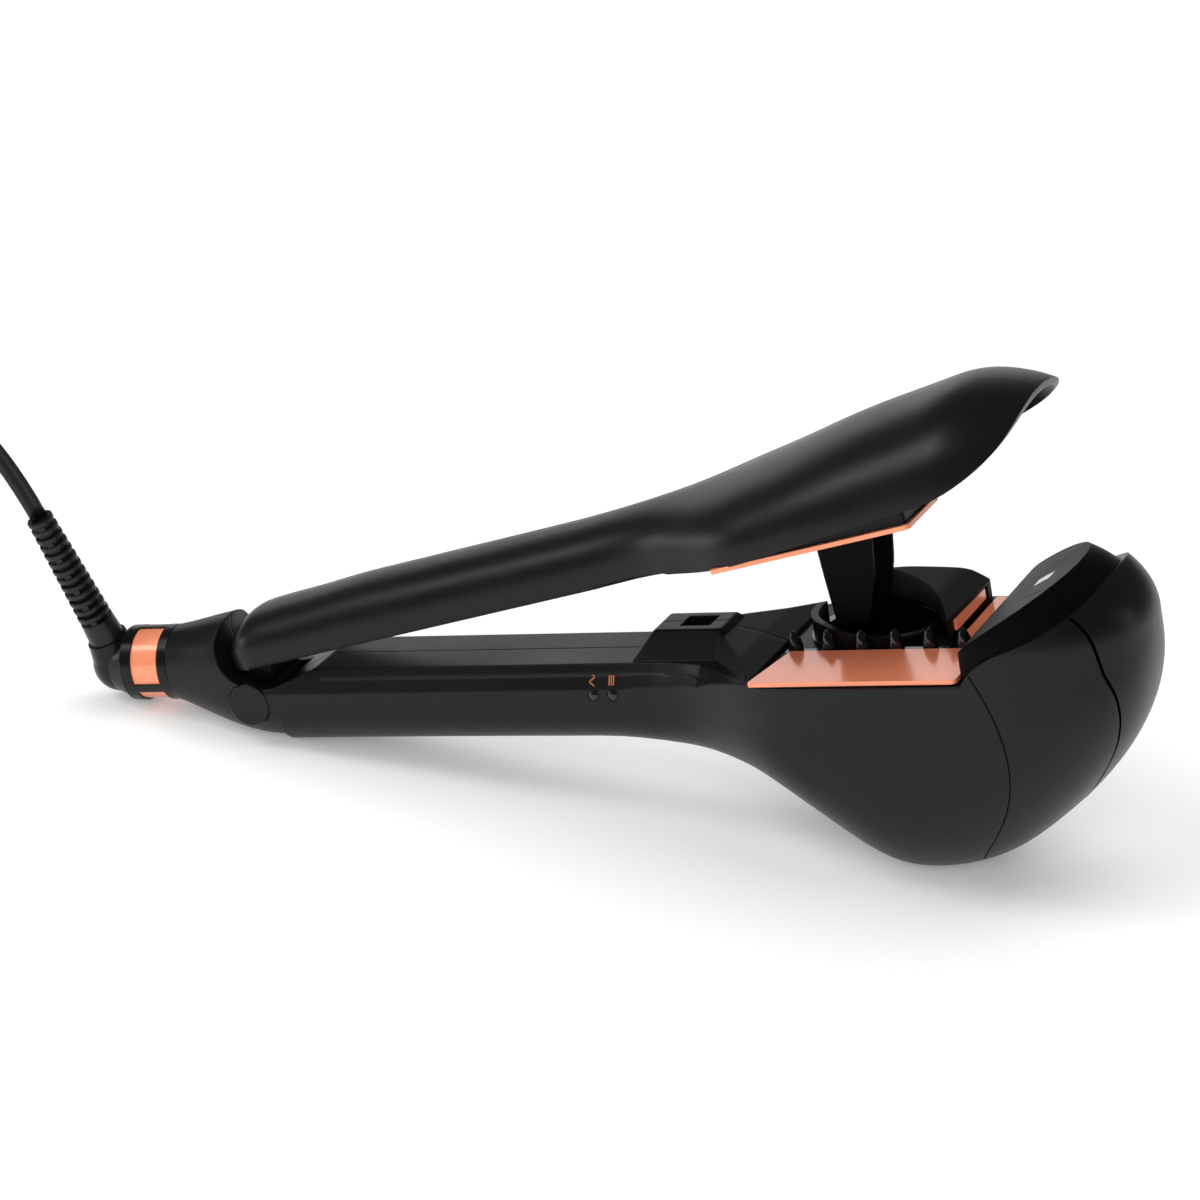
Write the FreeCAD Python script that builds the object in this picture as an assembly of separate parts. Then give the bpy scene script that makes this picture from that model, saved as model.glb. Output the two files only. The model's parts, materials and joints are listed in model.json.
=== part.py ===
import FreeCAD, Part
import math
import os

from FreeCAD import Vector as V

# Automatic hair curler and straightener: a tong of two arms on a rear hinge.
# Everything is modelled in the tool frame, in millimetres: X runs from the hinge to the nose,
# Y across the tool, Z up from the parting plane where the two arms meet.
# The last section opens the upper arm and stands the tool on its heel and its bulb.

# ---- driving dimensions ----
OPEN_DEG = 11.0          # how far the upper arm stands open
HINGE_Z = -9.0           # hinge pin axis below the parting plane
PIN_R = 3.0
PIN_FIT = 0.05           # radial running clearance on the hinge pin
WALL = 2.2               # moulded shell wall
SEAM = 0.15              # half the joint line between two mouldings
JAW_GAP = 0.3            # between the closed arms

HANDLE_W = 15.0          # half width of the handle
FLAT_W = 11.5            # half width of the lower arm's flat inner face
LOWER_CHAMFER = 7.0
UPPER_FLAT_W = 14.0      # half width of the upper arm's flat inner face
UPPER_CHAMFER = 2.4
HANDLE_TOP = 15.2        # crown of the upper arm over the parting plane
HANDLE_BOTTOM = -23.0
HEAD_W = 33.0            # half width of the head
BULB_BOTTOM = -59.2
NOSE_X = 252.0           # front end
NOSE_START = 212.0       # where the nose begins to round off
NOSE_Z = 5.0             # height of the foremost point
TAIL_X = -26.0           # rear face, where the cord swivel sits
TAIL_Z = -1.6            # swivel axis height

PLATE_X0 = 153.0         # straightening plates
PLATE_X1 = 209.0
PLATE_EDGE = 1.4         # the plates' outer edge inside the head's side
PLATE_TOP = 1.6
PLATE_T = 1.2
PLATE_GAP = 0.15         # between the closed plates

CHAMBER_X = 174.0        # curl chamber axis
CHAMBER_SIDE = 22.5      # from the chamber's axis to the head's far side
CHAMBER_R = 15.0
CHAMBER_WALL = 1.5
CHAMBER_FLOOR = -31.5
DECK_T = 2.6
COMB_STRIP = 4.7         # between the plates and the chamber's bore, where the comb stands
CHAMBER_Y = HEAD_W - CHAMBER_SIDE
PLATE_OUT = PLATE_EDGE - HEAD_W
PLATE_IN = CHAMBER_Y - CHAMBER_R - COMB_STRIP

GEAR_MODULE = 1.0
ROTOR_TEETH = 26
PINION_TEETH = 10
GEAR_T = 4.0
GEAR_Z = -37.3           # underside of the rotor gear
GEAR_BACKLASH = 0.12
POST_BOTTOM = -28.6      # tip of the curl post, arms closed

SWIVEL_R = 10.3          # cord swivel collar
RELIEF_START = 9.0       # where the strain relief begins, from the elbow's middle
RELIEF_LEN = 41.0
RELIEF_RINGS = 13
RELIEF_R = (4.7, 3.7)
SWIVEL_BORE = 6.0
CORD_D = 5.0


# ---- small helpers ----
def box(x0, x1, y0, y1, z0, z1):
    return Part.makeBox(x1 - x0, y1 - y0, z1 - z0, V(x0, y0, z0))


def cyl(r, start, end):
    axis = V(*end) - V(*start)
    return Part.makeCylinder(r, axis.Length, V(*start), axis)


def ring(r_out, r_in, start, end):
    return cyl(r_out, start, end).cut(cyl(r_in, start, end))


def rounded_edges(points, radii, closed=True):
    """Straight runs joined by tangent arcs: one radius for each point."""
    n = len(points)
    cuts = []
    for i, p in enumerate(points):
        r = radii[i]
        if r <= 0 or (not closed and i in (0, n - 1)):
            cuts.append((p, p, None))
            continue
        a = (points[i - 1] - p).normalize()
        b = (points[(i + 1) % n] - p).normalize()
        half = a.getAngle(b) / 2
        reach = r / math.tan(half)
        start = p + a * reach
        end = p + b * reach
        centre = p + (a + b).normalize() * (r / math.sin(half))
        middle = centre + (p - centre).normalize() * r
        cuts.append((start, end, middle))
    edges = []
    for i in range(n):
        start, end, middle = cuts[i]
        if middle is not None:
            edges.append(Part.Arc(start, middle, end).toShape())
        if closed or i < n - 1:
            following = cuts[(i + 1) % n][0]
            if (following - end).Length > 1e-6:
                edges.append(Part.LineSegment(end, following).toShape())
    return edges


def outline(points, radii):
    if not isinstance(radii, (list, tuple)):
        radii = [radii] * len(points)
    return Part.Face(Part.Wire(rounded_edges(points, radii)))


def prism_y(points, y0, y1, radii=0.0):
    """A side view outline, given as (x, z), drawn out across the tool."""
    return outline([V(x, y0, z) for x, z in points], radii).extrude(V(0, y1 - y0, 0))


def prism_x(points, x0, x1, radii=0.0):
    """A cross section, given as (y, z), drawn out along the tool."""
    return outline([V(x0, y, z) for y, z in points], radii).extrude(V(x1 - x0, 0, 0))


def prism_z(points, z0, z1, radii=0.0):
    """A plan outline, given as (x, y), drawn out upward."""
    return outline([V(x, y, z0) for x, y in points], radii).extrude(V(0, 0, z1 - z0))


def spline_side(points, y0, y1, closing):
    """A side view outline whose first stretch is a smooth curve and whose rest is straight."""
    curve = Part.BSplineCurve()
    curve.interpolate([V(x, y0, z) for x, z in points])
    corners = [V(x, y0, z) for x, z in closing]
    chain = [V(points[-1][0], y0, points[-1][1])] + corners + [V(points[0][0], y0, points[0][1])]
    edges = [curve.toShape()]
    edges += [Part.LineSegment(chain[i], chain[i + 1]).toShape() for i in range(len(chain) - 1)]
    return Part.Face(Part.Wire(edges)).extrude(V(0, y1 - y0, 0))


def smooth(table, x):
    """Monotone curve through hand-set stations (x, value)."""
    xs = [p[0] for p in table]
    ys = [p[1] for p in table]
    if x <= xs[0]:
        return ys[0]
    if x >= xs[-1]:
        return ys[-1]
    slopes = [(ys[i + 1] - ys[i]) / (xs[i + 1] - xs[i]) for i in range(len(xs) - 1)]
    tangents = [0.0] * len(xs)
    for i in range(1, len(xs) - 1):
        if slopes[i - 1] * slopes[i] > 0:
            tangents[i] = 2 * slopes[i - 1] * slopes[i] / (slopes[i - 1] + slopes[i])
    i = max(k for k in range(len(xs) - 1) if xs[k] <= x)
    h = xs[i + 1] - xs[i]
    t = (x - xs[i]) / h
    return (
        (2 * t**3 - 3 * t**2 + 1) * ys[i]
        + (t**3 - 2 * t**2 + t) * h * tangents[i]
        + (-2 * t**3 + 3 * t**2) * ys[i + 1]
        + (t**3 - t**2) * h * tangents[i + 1]
    )


def section(x, half_width, top, bottom, shoulder_up, shoulder_low, full_up, full_low):
    """A cross section of six edges: two crown curves, two sides and two keel curves."""
    def bezier(p0, p1, p2, p3):
        curve = Part.BezierCurve()
        curve.setPoles([V(x, y, z) for y, z in (p0, p1, p2, p3)])
        return curve.toShape()

    w = half_width
    rise = top - shoulder_up
    drop = bottom - shoulder_low
    edges = [
        bezier((0, top), (full_up * w, top), (w, shoulder_up + full_up * rise), (w, shoulder_up)),
        Part.LineSegment(V(x, w, shoulder_up), V(x, w, shoulder_low)).toShape(),
        bezier((w, shoulder_low), (w, shoulder_low + full_low * drop), (full_low * w, bottom), (0, bottom)),
        bezier((0, bottom), (-full_low * w, bottom), (-w, shoulder_low + full_low * drop), (-w, shoulder_low)),
        Part.LineSegment(V(x, -w, shoulder_low), V(x, -w, shoulder_up)).toShape(),
        bezier((-w, shoulder_up), (-w, shoulder_up + full_up * rise), (-full_up * w, top), (0, top)),
    ]
    return Part.Wire(edges)


# ---- the closed tool's outer form ----
WIDTHS = [(8, HANDLE_W), (112, HANDLE_W), (130, HANDLE_W + 2.2), (146, HEAD_W - 6.5), (160, HEAD_W - 1.2),
          (182, HEAD_W), (NOSE_START, HEAD_W - 0.5)]
TOPS = [(8, HANDLE_TOP - 1.4), (40, HANDLE_TOP - 0.2), (100, HANDLE_TOP), (136, HANDLE_TOP + 1.6),
        (164, 20.4), (192, 25.2), (NOSE_START, 27.5), (NOSE_START + 14, 29.3)]
BOTTOMS = [(8, HANDLE_BOTTOM + 0.3), (100, HANDLE_BOTTOM - 0.2), (123, HANDLE_BOTTOM - 2.8), (149, -33.2),
           (165, -46.5), (178, BULB_BOTTOM + 2.2), (189, BULB_BOTTOM), (201, BULB_BOTTOM + 1.6),
           (NOSE_START, BULB_BOTTOM + 6.0)]
STATIONS = [8, 22, 36, 50, 64, 78, 92, 105, 117, 128, 138, 148, 158, 168, 179, 190, 201, NOSE_START]
NOSE_STEPS = [0.26, 0.46, 0.63, 0.77, 0.875, 0.945, 0.985, 0.999]


NOSE_KEEL = 0.42         # how bluntly the keel line runs up to the nose


def round_off(u, power):
    return (1 - u**power) ** (1 / power)


def form_section(x, inset=0.0):
    """The tool's cross section at x; inset shrinks it for the inner side of a wall."""
    nose_length = NOSE_X - inset - NOSE_START
    u = max(0.0, (x - NOSE_START) / nose_length)
    wide, high, deep = round_off(u, 2.1), round_off(u, 1.93), (1 - u) ** NOSE_KEEL
    w = (smooth(WIDTHS, x) - inset) * wide
    top = NOSE_Z + (smooth(TOPS, x) - inset - NOSE_Z) * high
    bottom = NOSE_Z + (smooth(BOTTOMS, x) + inset - NOSE_Z) * deep
    shoulder_up = smooth([(8, 4.5), (140, 4.5), (185, 6.0)], x)
    shoulder_low = smooth([(8, -11.0), (125, -11.0), (185, -16.0)], x)
    shoulder_up = NOSE_Z + (shoulder_up - NOSE_Z) * high
    shoulder_low = NOSE_Z + (shoulder_low - NOSE_Z) * deep
    return w, top, bottom, shoulder_up, shoulder_low


def form(inset=0.0, start=8.0, rear=()):
    """The closed tool ahead of the hinge, as one solid; rear adds wires behind it."""
    stations = [start] + [x for x in STATIONS if x > start + 6]
    stations += [NOSE_START + (NOSE_X - inset - NOSE_START) * u for u in NOSE_STEPS]
    wires = list(rear) + [section(x, *form_section(x, inset), 0.6, 0.6) for x in stations]
    return Part.makeLoft(wires, True, False)


RIM = [(NOSE_START - 1.0, 1.0), (216, 5.6), (226, 9.2), (234, 12.4), (241, 16.6), (246, 21.4), (250, 27.0)]


def below_jaw(drop=0.0):
    """Everything under the line where the arms part."""
    rim = [(x, z - drop) for x, z in RIM]
    return spline_side(rim, -60, 60, [(270, 27 - drop), (270, -90), (-60, -90), (-60, -drop),
                                      (NOSE_START - 1.5, -drop)])


def above_jaw():
    """Everything over the parting line: the spoon's rim climbs from the plates to the nose."""
    lift = JAW_GAP + 0.25
    edge = [(110, JAW_GAP), (142, 1.7), (175, 3.9), (206, 6.4), (217, 7.5), (226, 9.6 + lift), (233, 12.9 + lift),
            (237.6, 16.6 + lift), (240.2, 20.6 + lift), (241.6, 25.5 + lift), (242.4, 32.5 + lift)]
    return spline_side(edge, -60, 60, [(242.6, 80), (-60, 80), (-60, JAW_GAP)])


BLOCK_TOP = 7.0          # latch block on the lower arm
BLOCK_X = (111.5, 118.0, 137.0, 145.0)
BLOCK_W = 6.5            # half width of the block's top
LUG_HALF = 7.4           # half width of the upper arm's hinge lug
LUG_R = 6.8
CAP_R = 5.9              # round caps over the hinge pin's ends
CAP_T = 1.7
SCREW_X = (44.0, 72.0, 124.0)
SCREW_Z = -14.5
SCREW_R = 1.4
SCREW_HEAD_R = 2.5
SCREW_HEAD_Y = HANDLE_W - 4.4
LIGHT_X = (102.0, 107.5)  # the two mode lights on the near side
LIGHT_Z = -7.6
LIGHT_R = 1.35
SWITCH_X = 84.0          # mode slider on the far side
SWITCH_Z = -8.0
SWITCH_TRAVEL = 3.5      # to each side of its middle place
TEETH = 6
TOOTH_PITCH = 9.2
TOOTH_H = 6.4


def mirrored(shape):
    return shape.fuse(shape.mirror(V(0, 0, 0), V(0, 1, 0)))


# ---- tail, hinge and lower arm ----
def tail():
    rows = [(TAIL_X, SWIVEL_R, TAIL_Z + SWIVEL_R, TAIL_Z - SWIVEL_R), (-20, 11.4, 9.8, -14.4),
            (-13, 13.0, 11.3, -17.4), (-5, 14.5, 12.6, -20.2), (5, HANDLE_W, 13.0, -21.8),
            (16, HANDLE_W, 13.0, HANDLE_BOTTOM + 0.3)]
    wires = [section(x, w, t, b, TAIL_Z + 0.6, TAIL_Z - 0.6 - max(0, x - TAIL_X) * 0.2, 0.57, 0.57)
             for x, w, t, b in rows]
    return Part.makeLoft(wires, True, False)


SCOOP = [(-9.5, 7.0), (-6.0, -2.0), (6.0, -5.6), (20.0, 0.0), (40.0, 0.0), (40.0, 40.0), (-2.0, 40.0)]


def lug_pocket():
    """Room for the hinge lug to swing in, open upward."""
    swing = cyl(LUG_R + 0.8, (0, -LUG_HALF - 0.4, HINGE_Z), (0, LUG_HALF + 0.4, HINGE_Z))
    throat = box(-LUG_R - 0.8, LUG_R + 3.0, -LUG_HALF - 0.4, LUG_HALF + 0.4, HINGE_Z, 20)
    return swing.fuse(throat)


CHAMFER_RUN = [(4, 0.0), (110, 0.0), (124, 0.1), (133, 0.34), (141, 0.68), (148, 0.93), (154, 1.0)]


def long_chamfer(inner, drop):
    """A chamfer along the handle that fades out where the head has reached its full width."""
    wires = []
    for x, fade in CHAMFER_RUN:
        w = form_section(max(x, 8.0))[0]
        flat = inner + (w + 0.2 - inner) * fade
        low = drop * (1 - fade) + 0.02
        points = [(-flat, 0.0), (-w - 0.6, -low), (-60, -low), (-60, math.copysign(30, drop)),
                  (-flat, math.copysign(30, drop))]
        wires.append(Part.makePolygon([V(x, y, z) for y, z in points + points[:1]]))
    return mirrored(Part.makeLoft(wires, True, True))


def latch_block():
    """The raised block ahead of the handle and the fairing that spreads from it to the plates."""
    x0, x1, x2, x3 = BLOCK_X
    w, t = FLAT_W, BLOCK_TOP
    base = Part.makePolygon([V(x0, -w, -1), V(x3, -w, -1), V(x3, w, -1), V(x0, w, -1), V(x0, -w, -1)])
    top = Part.makePolygon([V(x1, -BLOCK_W, t), V(x2, -BLOCK_W, t), V(x2, BLOCK_W, t), V(x1, BLOCK_W, t),
                            V(x1, -BLOCK_W, t)])
    block = Part.makeLoft([base, top], True, True)
    upper_edges = [e for e in block.Edges if e.CenterOfMass.z > 2.0]
    block = block.makeFillet(1.3, upper_edges)
    def rib(x, foot, crown, z):
        return Part.makePolygon([V(x, -foot, -1), V(x, -crown, z), V(x, crown, z), V(x, foot, -1), V(x, -foot, -1)])
    fairing = Part.makeLoft([rib(x2 - 1.0, w, BLOCK_W - 0.5, t - 0.8), rib(x3 + 1.0, 22.5, 18.0, 3.4),
                             rib(PLATE_X0 - 0.6, 32.5, 29.5, 0.9)], True, True)
    slot = box(124.5, 133.0, -3.6, 3.6, t - 3.4, t + 5)
    return block.fuse(fairing).cut(slot)


def screw_bosses():
    posts = [cyl(3.2, (x, -HANDLE_W + 1.0, SCREW_Z), (x, HANDLE_W - 1.0, SCREW_Z)) for x in SCREW_X]
    return posts[0].fuse(posts[1:])


def screws(grow):
    """Three screws from the far side that clamp the two halves of the lower arm."""
    made = []
    for x in SCREW_X:
        made.append(cyl(SCREW_R + grow, (x, -8.0 - grow, SCREW_Z), (x, SCREW_HEAD_Y, SCREW_Z)))
        made.append(cyl(SCREW_HEAD_R + grow, (x, SCREW_HEAD_Y - grow, SCREW_Z),
                        (x, SCREW_HEAD_Y + 1.8 + 10 * grow, SCREW_Z)))
    return made[0].fuse(made[1:])


SEAM_1 = [(212.5, 4.0), (217.5, -8.0), (219.6, -20.0), (217.0, -33.0), (209.0, -46.0), (196.0, -62.0)]


def behind_seam_1(shift):
    line = [(x + shift, z) for x, z in SEAM_1]
    return spline_side(line, -60, 60, [(190, -90), (-80, -90), (-80, 40), (212.5 + shift, 40)])


FRONT_COVER = [(-25.0, 30.0), (-20.5, -2.0), (-15.5, -18.0), (-11.0, -32.0), (-6.0, -41.0), (6.0, -41.0),
               (11.0, -32.0), (15.5, -18.0), (20.5, -2.0), (25.0, 30.0)]


def front_cover_prism(grow):
    points = [(y + math.copysign(grow, y), z - grow) for y, z in FRONT_COVER]
    return prism_x(points, 224, 270, [0, 12, 12, 10, 5, 5, 10, 12, 12, 0])


def half(shape, side):
    """The part of a shape on the near (-1) or far (+1) side of the seam down the middle."""
    block = box(-100, 300, SEAM, 80, -100, 100) if side > 0 else box(-100, 300, -80, -SEAM, -100, 100)
    return shape.common(block)


FORM = form()
INNER = form(WALL, 10.0)
DECK_SEAT = form(1.7).common(box(PLATE_X0 - 0.4, NOSE_START + 1.5, -60, 60, -DECK_T - 0.1, 1.0))


def lower_whole():
    whole = FORM.common(below_jaw()).fuse(tail())
    whole = whole.cut(prism_y(SCOOP, -60, 60, [6, 10, 12, 2, 0, 0, 0]))
    whole = whole.cut(box(8, 206, -60, 60, 0, 60))
    whole = whole.cut(long_chamfer(FLAT_W, LOWER_CHAMFER))
    hollow = INNER.common(below_jaw(WALL + 0.2)).common(box(22, 300, -60, 60, -90, 60))
    whole = whole.cut(hollow)
    whole = whole.fuse(latch_block().common(FORM)).fuse(screw_bosses().common(FORM))
    whole = whole.cut(DECK_SEAT).cut(lug_pocket()).cut(screws(0.1))
    cap_seat = HANDLE_W - CAP_T - 0.1
    whole = whole.cut(cyl(PIN_R + PIN_FIT, (0, -cap_seat, HINGE_Z), (0, cap_seat, HINGE_Z)))
    whole = whole.cut(mirrored(cyl(CAP_R + SEAM, (0, -cap_seat, HINGE_Z), (0, -HANDLE_W - 1, HINGE_Z))))
    whole = whole.cut(cyl(SWIVEL_BORE, (TAIL_X - 1, 0, TAIL_Z), (TAIL_X + 9, 0, TAIL_Z)))
    for x in LIGHT_X:
        whole = whole.cut(cyl(LIGHT_R + 0.1, (x, -HANDLE_W - 1, LIGHT_Z), (x, 3.0 - HANDLE_W, LIGHT_Z)))
    gear_room = GEAR_MODULE * ROTOR_TEETH / 2 + 1.5
    whole = whole.cut(cyl(gear_room, (CHAMBER_X, CHAMBER_Y, GEAR_Z - 0.5), (CHAMBER_X, CHAMBER_Y, CHAMBER_FLOOR)))
    whole = whole.cut(switch_slot())
    return whole.removeSplitter()


def switch_slot():
    """A shallow tray in the far side with a narrow way through the wall for the slider's stem."""
    reach = SWITCH_TRAVEL + 3.4
    tray = box(SWITCH_X - reach, SWITCH_X + reach, HANDLE_W - 0.9, HANDLE_W + 3, SWITCH_Z - 2.3, SWITCH_Z + 2.3)
    way = box(SWITCH_X - SWITCH_TRAVEL - 1.7, SWITCH_X + SWITCH_TRAVEL + 1.7, HANDLE_W - 3.5, HANDLE_W,
              SWITCH_Z - 0.9, SWITCH_Z + 0.9)
    return tray.fuse(way)


parts = {}


def add(name, shape, body="lower_arm"):
    solids = shape.Solids
    shape = solids[0] if len(solids) == 1 else Part.makeCompound(solids)
    parts[name] = [shape, body]
    return shape


# ---- nose core: the plug that fills the spoon's mouth when the arms close ----
CORE_INSET = 2.6
CORE_RAMP = [(206.2, 0.4), (207.3, 4.4), (210.4, 8.4), (214.4, 11.1), (219.7, 14.0), (226.0, 17.2), (232.5, 20.4),
             (239.0, 23.2), (250.0, 26.0)]
CAP_EDGE = [(221.0, -10.5), (237.5, -19.5), (260.0, -26.0)]


def nose_core():
    body = form(CORE_INSET).common(spline_side(CORE_RAMP, -60, 60, [(270, 26.0), (270, 0.4)]))
    below = box(NOSE_START + 2.0, 300, -60, 60, -6.0, 0.5).common(form(WALL + 0.2))
    return body.fuse(below)


def cap_wedge(shrink):
    near = [(x, y + shrink) for x, y in CAP_EDGE]
    far = [(x, -y) for x, y in reversed(near)]
    return prism_z(near + far, -1.0, 60.0)


CORE_FACE = PLATE_X1 + 0.35      # the insert's near end stands clear of the plates
LENS_X = (222.0, 226.6)
LENS_Y = (-2.4, 2.4)
core = nose_core()
core = core.cut(box(190, CORE_FACE, -40, PLATE_IN + 0.3, -10, 8.0))
lip_ends = [e for e in core.Edges if abs(e.CenterOfMass.x - CORE_FACE) < 0.05 and e.CenterOfMass.y < -28.0]
core = core.makeFillet(2.2, lip_ends)
lower = lower_whole().cut(core)
rear = lower.common(behind_seam_1(-SEAM))
add("lower_shell_near", half(rear, -1))
add("lower_shell_far", half(rear, 1))
front = lower.cut(behind_seam_1(SEAM))
cheeks = front.cut(front_cover_prism(SEAM))
add("nose_shell_near", half(cheeks, -1))
add("nose_shell_far", half(cheeks, 1))
add("front_cover", front.common(front_cover_prism(-SEAM)))

# ---- nose insert ----
lens_seat = prism_y([(LENS_X[0], 11.0), (LENS_X[1], 11.0), (LENS_X[1], 30.0), (LENS_X[0], 30.0)], *LENS_Y)
lens = core.common(lens_seat)
core = core.cut(lens_seat)
add("nose_cap", core.common(cap_wedge(SEAM)))
add("nose_lip", core.cut(cap_wedge(-SEAM)))
add("indicator_lens", lens)

# ---- deck, curl chamber and its guard ----
def chamber(r, z0, z1):
    return cyl(r, (CHAMBER_X, CHAMBER_Y, z0), (CHAMBER_X, CHAMBER_Y, z1))


CUP_R = CHAMBER_R + CHAMBER_WALL
COMB_Y = PLATE_IN + 2.0
HEATER = (PLATE_X0 + 6, PLATE_X1 - 8, PLATE_OUT + 4, PLATE_IN - 2)

deck = form(1.9).common(box(PLATE_X0 - 0.2, NOSE_START + 1.2, -60, 60, -DECK_T, 0.0))
deck = deck.cut(chamber(CUP_R + 0.1, -10, 10))
deck = deck.cut(box(HEATER[0], HEATER[1], HEATER[2], HEATER[3], -1.4, 1.0))
add("head_deck", deck)


def plate(x0, x1, z0, z1, slant):
    """A straightening plate: its hinge end runs aslant, its nose end has a cut corner."""
    return prism_z([(x0, PLATE_OUT), (x1, PLATE_OUT), (x1, PLATE_IN), (x0 + slant, PLATE_IN)], z0, z1,
                   [0.6, 1.6, 0.6, 0.6])


lower_plate = plate(PLATE_X0, PLATE_X1, PLATE_TOP - PLATE_T, PLATE_TOP, 3.6)
add("lower_plate", lower_plate)
add("lower_heater", box(HEATER[0] + 0.1, HEATER[1] - 0.1, HEATER[2] + 0.1, HEATER[3] - 0.1, -1.3,
                        PLATE_TOP - PLATE_T))


def tooth(x):
    """A slim bullet-shaped comb tooth."""
    def ring_at(z, r):
        return Part.Wire(Part.Ellipse(V(0, 0, z), r, r * 0.78).toShape())
    body = Part.makeLoft([ring_at(z, r) for z, r in ((0.8, 2.0), (TOOTH_H - 3.6, 1.95), (TOOTH_H - 1.9, 1.5),
                                                     (TOOTH_H - 0.7, 0.9), (TOOTH_H, 0.25))], True, False)
    return body.translate(V(x, COMB_Y, 0))


comb_x0 = PLATE_X0 + 4.4
comb = prism_z([(comb_x0 - 2.6, PLATE_IN + 0.1), (comb_x0 + (TEETH - 1) * TOOTH_PITCH + 2.6, PLATE_IN + 0.1),
                (comb_x0 + (TEETH - 1) * TOOTH_PITCH + 2.6, PLATE_IN + 3.0), (comb_x0 - 2.6, PLATE_IN + 3.0)],
               0.0, 1.1, 0.5)
comb = comb.fuse([tooth(comb_x0 + i * TOOTH_PITCH) for i in range(TEETH)])
add("comb", comb)

cup = ring(CUP_R, CHAMBER_R, (CHAMBER_X, CHAMBER_Y, CHAMBER_FLOOR - CHAMBER_WALL), (CHAMBER_X, CHAMBER_Y, 0.0))
cup = cup.fuse(chamber(CUP_R, CHAMBER_FLOOR - CHAMBER_WALL, CHAMBER_FLOOR)).cut(chamber(5.6, -60, 0))
flange = ring(CUP_R + 1.2, CHAMBER_R, (CHAMBER_X, CHAMBER_Y, 0.0), (CHAMBER_X, CHAMBER_Y, 1.0))
cup = cup.fuse(flange.common(box(100, 300, COMB_Y + 1.7, 60, -10, 10)))
add("chamber_cup", cup)

wall = ring(CUP_R + 0.6, CHAMBER_R + 0.2, (CHAMBER_X, CHAMBER_Y, 1.0), (CHAMBER_X, CHAMBER_Y, 8.0))
wall = wall.common(prism_y([(150, 0.9), (200, 0.9), (200, 1.6), (188, 2.0), (176, 4.0), (164, 6.4), (150, 6.6)],
                           COMB_Y + 1.7, CHAMBER_Y + 3.0))
add("chamber_wall", wall)

LEAF_BACK = HEAD_W - 2.0          # the guard reaches back to the head's far side
LEAF_CROWN = [(150.0, -2.0), (202.0, -2.0), (202.0, 6.4), (191.0, 9.3), (176.0, 10.3), (150.0, 9.4)]
LEAF_EDGE = [(164.0, LEAF_BACK), (176.0, CHAMBER_Y + 14.6), (188.0, CHAMBER_Y + 4.0), (195.5, CHAMBER_Y - 8.5),
             (198.6, CHAMBER_Y - 16.0)]


def leaf_outline(points, z0, z1):
    """Plan outline of the guard: a hollow edge toward the chamber and a full edge outside."""
    inner = Part.BSplineCurve()
    inner.interpolate([V(x, y, z0) for x, y in points])
    outer = Part.BSplineCurve()
    outer.interpolate([V(199.6, LEAF_BACK - 4.5, z0), V(190, LEAF_BACK, z0), V(180.0, LEAF_BACK + 1.6, z0),
                       V(points[0][0], points[0][1], z0)])
    end = Part.LineSegment(V(points[-1][0], points[-1][1], z0), V(199.6, LEAF_BACK - 4.5, z0))
    return Part.Face(Part.Wire([inner.toShape(), end.toShape(), outer.toShape()])).extrude(V(0, 0, z1 - z0))


leaf = leaf_outline(LEAF_EDGE, 0.0, 12.0).common(form(WALL + 0.7))
leaf = leaf.common(prism_y(LEAF_CROWN, -20, 60, [0, 0, 1.5, 16, 30, 0]))
leaf = leaf.cut(box(185.0, 199.0, -10.0, LEAF_BACK - 7.0, -1.0, 2.6)).cut(chamber(CUP_R + 1.5, -5.0, 3.0))
leaf_pocket = box(198.0, 202.0, -1.0, LEAF_BACK - 7.0, 2.6, 6.2)
add("curl_guard", leaf.cut(leaf_pocket))
add("guard_plate", box(198.0, 199.2, 0.0, LEAF_BACK - 8.0, 3.0, 5.8))
exit_plate = prism_z([(200.2, -4.0), (206.0, -4.0), (206.0, LEAF_BACK - 3.0), (200.2, LEAF_BACK - 3.0)], 0.0,
                     PLATE_TOP, 0.8)
add("exit_plate", exit_plate)

# ---- rotor and its drive ----
def involute_gear(teeth, z0, z1, bore, turn, centre):
    """Spur gear with involute flanks and a little backlash."""
    m, pressure = GEAR_MODULE, math.radians(20)
    pitch_r = m * teeth / 2
    base_r = pitch_r * math.cos(pressure)
    root_r, tip_r = pitch_r - 1.2 * m, pitch_r + 0.95 * m
    involute_at_pitch = math.tan(pressure) - pressure
    half_tooth = math.pi / (2 * teeth) - GEAR_BACKLASH / pitch_r / 2

    def flank(r):
        a = math.acos(min(1.0, base_r / r))
        return half_tooth + involute_at_pitch - (math.tan(a) - a)

    radii = [max(base_r, root_r) + (tip_r - max(base_r, root_r)) * k / 4 for k in range(5)]
    points = []
    for k in range(teeth):
        middle = turn + 2 * math.pi * k / teeth
        rise = [(root_r, -flank(radii[0]))] + [(r, -flank(r)) for r in radii]
        for r, a in rise + [(r, -a) for r, a in reversed(rise)]:
            points.append(V(centre[0] + r * math.cos(middle + a), centre[1] + r * math.sin(middle + a), z0))
    face = Part.Face(Part.makePolygon(points + [points[0]]))
    gear = face.extrude(V(0, 0, z1 - z0))
    return gear.cut(cyl(bore, (centre[0], centre[1], z0 - 1), (centre[0], centre[1], z1 + 1))) if bore else gear


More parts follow.
